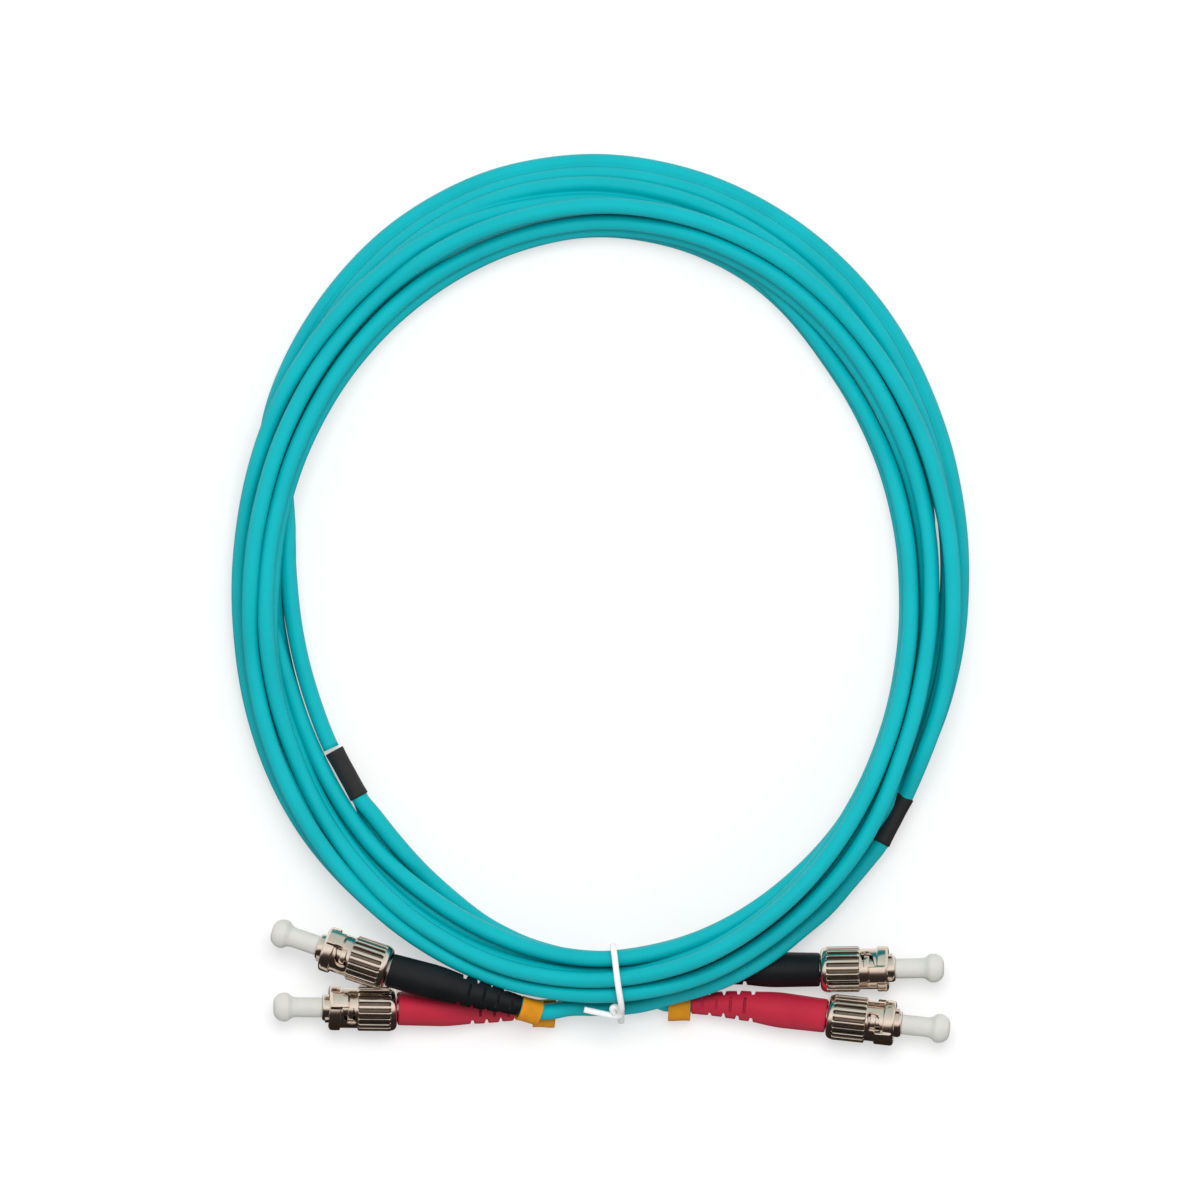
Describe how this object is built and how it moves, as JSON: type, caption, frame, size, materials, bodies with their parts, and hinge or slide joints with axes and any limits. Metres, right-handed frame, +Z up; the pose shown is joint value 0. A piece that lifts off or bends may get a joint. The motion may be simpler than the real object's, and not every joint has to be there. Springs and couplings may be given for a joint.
{
  "type": "duplex fibre patch lead with st connectors",
  "caption": "Coiled duplex fibre optic patch lead with spring-loaded bayonet ST plugs, slotted boots and dust caps at both ends.",
  "frame": {"origin": "on the table, below the middle of the box round the four plugs", "axes": "+X from the left plugs to the right plugs, +Y from the plugs to the coil, +Z up from the table"},
  "size_m": [0.1348, 0.1636, 0.0195],
  "materials": {
    "cap": "translucent soft plastic",
    "ceramic": "polished",
    "nickel": "nickel plated, satin",
    "steel": "plain",
    "fibre": "buffered fibre",
    "boot_black": "satin",
    "boot_red": "satin",
    "tag": "satin",
    "jacket": "satin pvc",
    "heatshrink": "satin",
    "tie": "satin"
  },
  "bodies": {
    "lead": {"left_black_ferrule": "ceramic", "left_black_barrel": "nickel", "left_black_spring": "steel", "left_black_ring": "steel", "left_black_crimp": "nickel", "left_black_fibre": "fibre", "left_black_boot": "boot_black", "left_black_tag": "tag", "left_red_ferrule": "ceramic", "left_red_barrel": "nickel", "left_red_spring": "steel", "left_red_ring": "steel", "left_red_crimp": "nickel", "left_red_fibre": "fibre", "left_red_boot": "boot_red", "left_red_tag": "tag", "right_black_ferrule": "ceramic", "right_black_barrel": "nickel", "right_black_spring": "steel", "right_black_ring": "steel", "right_black_crimp": "nickel", "right_black_fibre": "fibre", "right_black_boot": "boot_black", "right_black_tag": "tag", "right_red_ferrule": "ceramic", "right_red_barrel": "nickel", "right_red_spring": "steel", "right_red_ring": "steel", "right_red_crimp": "nickel", "right_red_fibre": "fibre", "right_red_boot": "boot_red", "right_red_tag": "tag", "cord_coil": "jacket", "leg_left_black": "jacket", "leg_left_red": "jacket", "leg_right_black": "jacket", "leg_right_red": "jacket", "sleeve_left": "heatshrink", "sleeve_right": "heatshrink", "twist_tie": "tie"},
    "left_black_carrier": {"left_black_washer": "steel"},
    "left_black_nut": {"left_black_nut": "nickel"},
    "left_black_cap": {"left_black_cap": "cap"},
    "left_red_carrier": {"left_red_washer": "steel"},
    "left_red_nut": {"left_red_nut": "nickel"},
    "left_red_cap": {"left_red_cap": "cap"},
    "right_black_carrier": {"right_black_washer": "steel"},
    "right_black_nut": {"right_black_nut": "nickel"},
    "right_black_cap": {"right_black_cap": "cap"},
    "right_red_carrier": {"right_red_washer": "steel"},
    "right_red_nut": {"right_red_nut": "nickel"},
    "right_red_cap": {"right_red_cap": "cap"}
  },
  "joints": [
    {"name": "left_black_nut_slide", "type": "slide", "parent": "lead", "child": "left_black_carrier", "axis": [-0.9402, 0.3182, -0.1219], "range_m": [0, 0.002], "stiffness_N_per_m": 900, "springref_m": -0.002, "deforming": ["left_black_spring"]},
    {"name": "left_black_nut_turn", "type": "hinge", "parent": "left_black_carrier", "child": "left_black_nut", "pos_m": [-0.04614, 0.00461, 0.00847], "axis": [-0.9402, 0.3182, -0.1219], "continuous": true},
    {"name": "left_black_cap_pull", "type": "slide", "parent": "lead", "child": "left_black_cap", "axis": [-0.9402, 0.3182, -0.1219], "range_m": [0, 0.01]},
    {"name": "left_red_nut_slide", "type": "slide", "parent": "lead", "child": "left_red_carrier", "axis": [-0.9994, 0.0122, 0.0332], "range_m": [0, 0.002], "stiffness_N_per_m": 900, "springref_m": -0.002, "deforming": ["left_red_spring"]},
    {"name": "left_red_nut_turn", "type": "hinge", "parent": "left_red_carrier", "child": "left_red_nut", "pos_m": [-0.045, -0.00433, 0.00437], "axis": [-0.9994, 0.0122, 0.0332], "continuous": true},
    {"name": "left_red_cap_pull", "type": "slide", "parent": "lead", "child": "left_red_cap", "axis": [-0.9994, 0.0122, 0.0332], "range_m": [0, 0.01]},
    {"name": "right_black_nut_slide", "type": "slide", "parent": "lead", "child": "right_black_carrier", "axis": [0.9994, 0.014, 0.0332], "range_m": [0, 0.002], "stiffness_N_per_m": 900, "springref_m": -0.002, "deforming": ["right_black_spring"]},
    {"name": "right_black_nut_turn", "type": "hinge", "parent": "right_black_carrier", "child": "right_black_nut", "pos_m": [0.0446, 0.00278, 0.00437], "axis": [0.9994, 0.014, 0.0332], "continuous": true},
    {"name": "right_black_cap_pull", "type": "slide", "parent": "lead", "child": "right_black_cap", "axis": [0.9994, 0.014, 0.0332], "range_m": [0, 0.01]},
    {"name": "right_red_nut_slide", "type": "slide", "parent": "lead", "child": "right_red_carrier", "axis": [0.9934, -0.1097, 0.0332], "range_m": [0, 0.002], "stiffness_N_per_m": 900, "springref_m": -0.002, "deforming": ["right_red_spring"]},
    {"name": "right_red_nut_turn", "type": "hinge", "parent": "right_red_carrier", "child": "right_red_nut", "pos_m": [0.04576, -0.00646, 0.00437], "axis": [0.9934, -0.1097, 0.0332], "continuous": true},
    {"name": "right_red_cap_pull", "type": "slide", "parent": "lead", "child": "right_red_cap", "axis": [0.9934, -0.1097, 0.0332], "range_m": [0, 0.01]}
  ]
}
